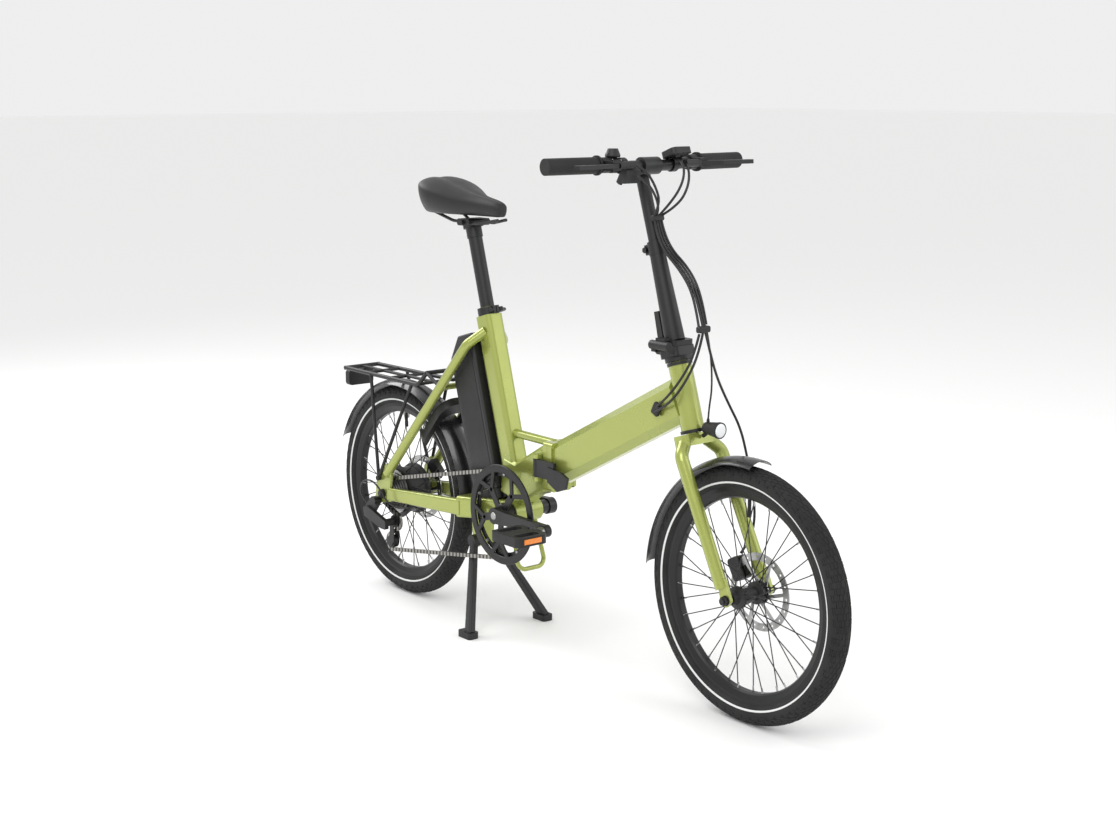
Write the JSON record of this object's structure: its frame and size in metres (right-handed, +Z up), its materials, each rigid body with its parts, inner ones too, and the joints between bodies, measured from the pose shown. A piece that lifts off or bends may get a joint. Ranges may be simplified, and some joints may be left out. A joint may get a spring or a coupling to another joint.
{
  "type": "folding bicycle",
  "caption": "Electrically assisted folding bicycle with a frame hinge, folding handle post, telescopic seat and bar, rear hub motor, rack, lamps and disc brakes.",
  "frame": {"origin": "on the ground, midway between the ends of the whole bicycle, on its middle plane", "axes": "+X forward, +Y the rider's left, +Z up"},
  "size_m": [1.6298, 0.502, 1.0802],
  "materials": {
    "lime_paint": "metallic gloss",
    "black_paint": "satin",
    "black_plastic": "satin",
    "bright_steel": "satin",
    "black_alloy": "anodised satin",
    "rubber": "matte",
    "tyre": "matte"
  },
  "bodies": {
    "rear_frame": {"rear_frame": "lime_paint", "hinge_pin": "black_paint", "bottom_bracket": "black_paint", "seat_collar": "black_paint", "battery_dock": "black_plastic", "rack": "black_paint", "rear_mudguard": "black_plastic", "rear_light": "black_plastic", "ring_lock": "black_paint", "rear_axle": "black_paint", "rear_caliper": "black_paint", "derailleur": "black_paint", "chain": "bright_steel", "cables_rear": "rubber"},
    "rear_wheel": {"rear_tyre": "tyre", "rear_rim": "black_paint", "rear_spokes": "bright_steel", "motor_hub": "black_paint", "rear_disc": "bright_steel"},
    "cassette": {"cassette": "bright_steel"},
    "crank": {"chainring": "black_alloy", "crank_right": "black_paint", "crank_left": "black_paint"},
    "pedal_hub_right": {"pedal_hub_right": "bright_steel"},
    "pedal_right": {"pedal_right": "black_plastic"},
    "pedal_hub_left": {"pedal_hub_left": "bright_steel"},
    "pedal_left": {"pedal_left": "black_plastic"},
    "derailleur_cage": {"derailleur_cage": "black_paint"},
    "kickstand": {"kickstand": "black_paint"},
    "seat": {"seat_post": "black_paint", "saddle_clamp": "black_paint", "saddle": "black_plastic"},
    "seat_lever": {"seat_lever": "black_paint"},
    "battery": {"battery": "black_plastic"},
    "main_latch": {"main_latch": "black_paint"},
    "front_frame": {"front_frame": "lime_paint", "headset": "black_paint", "cables_lower": "rubber"},
    "fork": {"fork": "lime_paint", "stem_base": "black_paint", "front_axle": "black_paint", "front_mudguard": "black_plastic", "headlight": "black_plastic", "front_caliper": "black_paint", "cables_fork": "rubber"},
    "front_wheel": {"front_tyre": "tyre", "front_rim": "black_paint", "front_spokes": "bright_steel", "front_hub": "black_paint", "front_disc": "bright_steel"},
    "stem_latch": {"stem_latch": "black_paint"},
    "handle_post": {"handle_post": "black_paint"},
    "post_lever": {"post_lever": "black_paint"},
    "upper_tube": {"upper_tube": "black_paint"},
    "handlebar": {"handlebar": "black_paint", "grips": "rubber", "bar_controls": "black_plastic", "cables_upper": "rubber"},
    "brake_lever_right": {"brake_lever_right": "black_paint"},
    "brake_lever_left": {"brake_lever_left": "black_paint"}
  },
  "joints": [
    {"name": "main_fold", "type": "hinge", "parent": "rear_frame", "child": "front_frame", "pos_m": [0, 0.038, 0.404], "axis": [0, 0, 1], "range_deg": [0, 165]},
    {"name": "main_latch", "type": "hinge", "parent": "rear_frame", "child": "main_latch", "pos_m": [-0.024, -0.038, 0.404], "axis": [0, 0, -1], "range_deg": [0, 110]},
    {"name": "steering", "type": "hinge", "parent": "front_frame", "child": "fork", "pos_m": [0.50975, 0, 0.23237], "axis": [-0.304, 0, 0.9527], "range_deg": [-180, 180], "deforming": ["cables_lower"]},
    {"name": "front_wheel_spin", "type": "hinge", "parent": "fork", "child": "front_wheel", "pos_m": [0.565, 0, 0.25], "axis": [0, 1, 0], "continuous": true},
    {"name": "rear_wheel_spin", "type": "hinge", "parent": "rear_frame", "child": "rear_wheel", "pos_m": [-0.565, 0, 0.25], "axis": [0, 1, 0], "continuous": true},
    {"name": "crank_spin", "type": "hinge", "parent": "rear_frame", "child": "crank", "pos_m": [-0.12, 0, 0.283], "axis": [0, 1, 0], "continuous": true, "deforming": ["chain"]},
    {"name": "cassette_spin", "type": "hinge", "parent": "rear_frame", "child": "cassette", "pos_m": [-0.565, 0, 0.25], "axis": [0, 1, 0], "continuous": true, "deforming": ["chain"]},
    {"name": "pedal_spin_right", "type": "hinge", "parent": "crank", "child": "pedal_hub_right", "pos_m": [0.05, -0.1, 0.283], "axis": [0, 1, 0], "continuous": true},
    {"name": "pedal_spin_left", "type": "hinge", "parent": "crank", "child": "pedal_hub_left", "pos_m": [-0.29, 0.1, 0.283], "axis": [0, 1, 0], "continuous": true},
    {"name": "pedal_fold_right", "type": "hinge", "parent": "pedal_hub_right", "child": "pedal_right", "pos_m": [0.05, -0.102, 0.283], "axis": [1, 0, 0], "range_deg": [0, 90]},
    {"name": "pedal_fold_left", "type": "hinge", "parent": "pedal_hub_left", "child": "pedal_left", "pos_m": [-0.29, 0.102, 0.283], "axis": [-1, 0, 0], "range_deg": [0, 90]},
    {"name": "derailleur_cage", "type": "hinge", "parent": "rear_frame", "child": "derailleur_cage", "pos_m": [-0.536, -0.054, 0.186], "axis": [0, 1, 0], "range_deg": [-15, 15], "stiffness_Nm_per_rad": 0.5, "deforming": ["chain"]},
    {"name": "kickstand", "type": "hinge", "parent": "rear_frame", "child": "kickstand", "pos_m": [-0.266, 0, 0.189], "axis": [0, 1, 0], "range_deg": [0, 100], "deforming": ["chain"]},
    {"name": "seat_height", "type": "slide", "parent": "rear_frame", "child": "seat", "axis": [0.274, 0, -0.9617], "range_m": [-0.04, 0.15]},
    {"name": "seat_lever", "type": "hinge", "parent": "rear_frame", "child": "seat_lever", "pos_m": [-0.21628, 0, 0.71589], "axis": [0, 1, 0], "range_deg": [0, 45]},
    {"name": "battery_slide", "type": "slide", "parent": "rear_frame", "child": "battery", "axis": [0.274, 0, -0.9617], "range_m": [-0.15, 0]},
    {"name": "stem_latch", "type": "hinge", "parent": "fork", "child": "stem_latch", "pos_m": [0.325, 0, 0.69], "axis": [0, -1, 0], "range_deg": [0, 140]},
    {"name": "post_fold", "type": "hinge", "parent": "fork", "child": "handle_post", "pos_m": [0.358, -0.04, 0.706], "axis": [-1, 0, 0], "range_deg": [-180, 0], "deforming": ["cables_fork"]},
    {"name": "post_lever", "type": "hinge", "parent": "handle_post", "child": "post_lever", "pos_m": [0.28057, 0, 0.88141], "axis": [0, 1, 0], "range_deg": [0, 90]},
    {"name": "bar_height", "type": "slide", "parent": "handle_post", "child": "upper_tube", "axis": [-0.304, 0, 0.9527], "range_m": [-0.1, 0], "deforming": ["cables_upper", "cables_fork"]},
    {"name": "bar_turn", "type": "hinge", "parent": "upper_tube", "child": "handlebar", "pos_m": [0.2519, 0, 1.0402], "axis": [-0.304, 0, 0.9527], "range_deg": [0, 90], "deforming": ["cables_upper"]},
    {"name": "brake_lever_right", "type": "hinge", "parent": "handlebar", "child": "brake_lever_right", "pos_m": [0.303, -0.113, 1.048], "axis": [0, 0, -1], "range_deg": [0, 18], "stiffness_Nm_per_rad": 1},
    {"name": "brake_lever_left", "type": "hinge", "parent": "handlebar", "child": "brake_lever_left", "pos_m": [0.303, 0.113, 1.048], "axis": [0, 0, 1], "range_deg": [0, 18], "stiffness_Nm_per_rad": 1}
  ],
  "couplings": [
    {"joint": "cassette_spin", "follows": "crank_spin", "ratio": 3},
    {"joint": "pedal_fold_left", "follows": "main_fold", "ratio": 0.545},
    {"joint": "bar_turn", "follows": "post_fold", "ratio": -0.5}
  ]
}
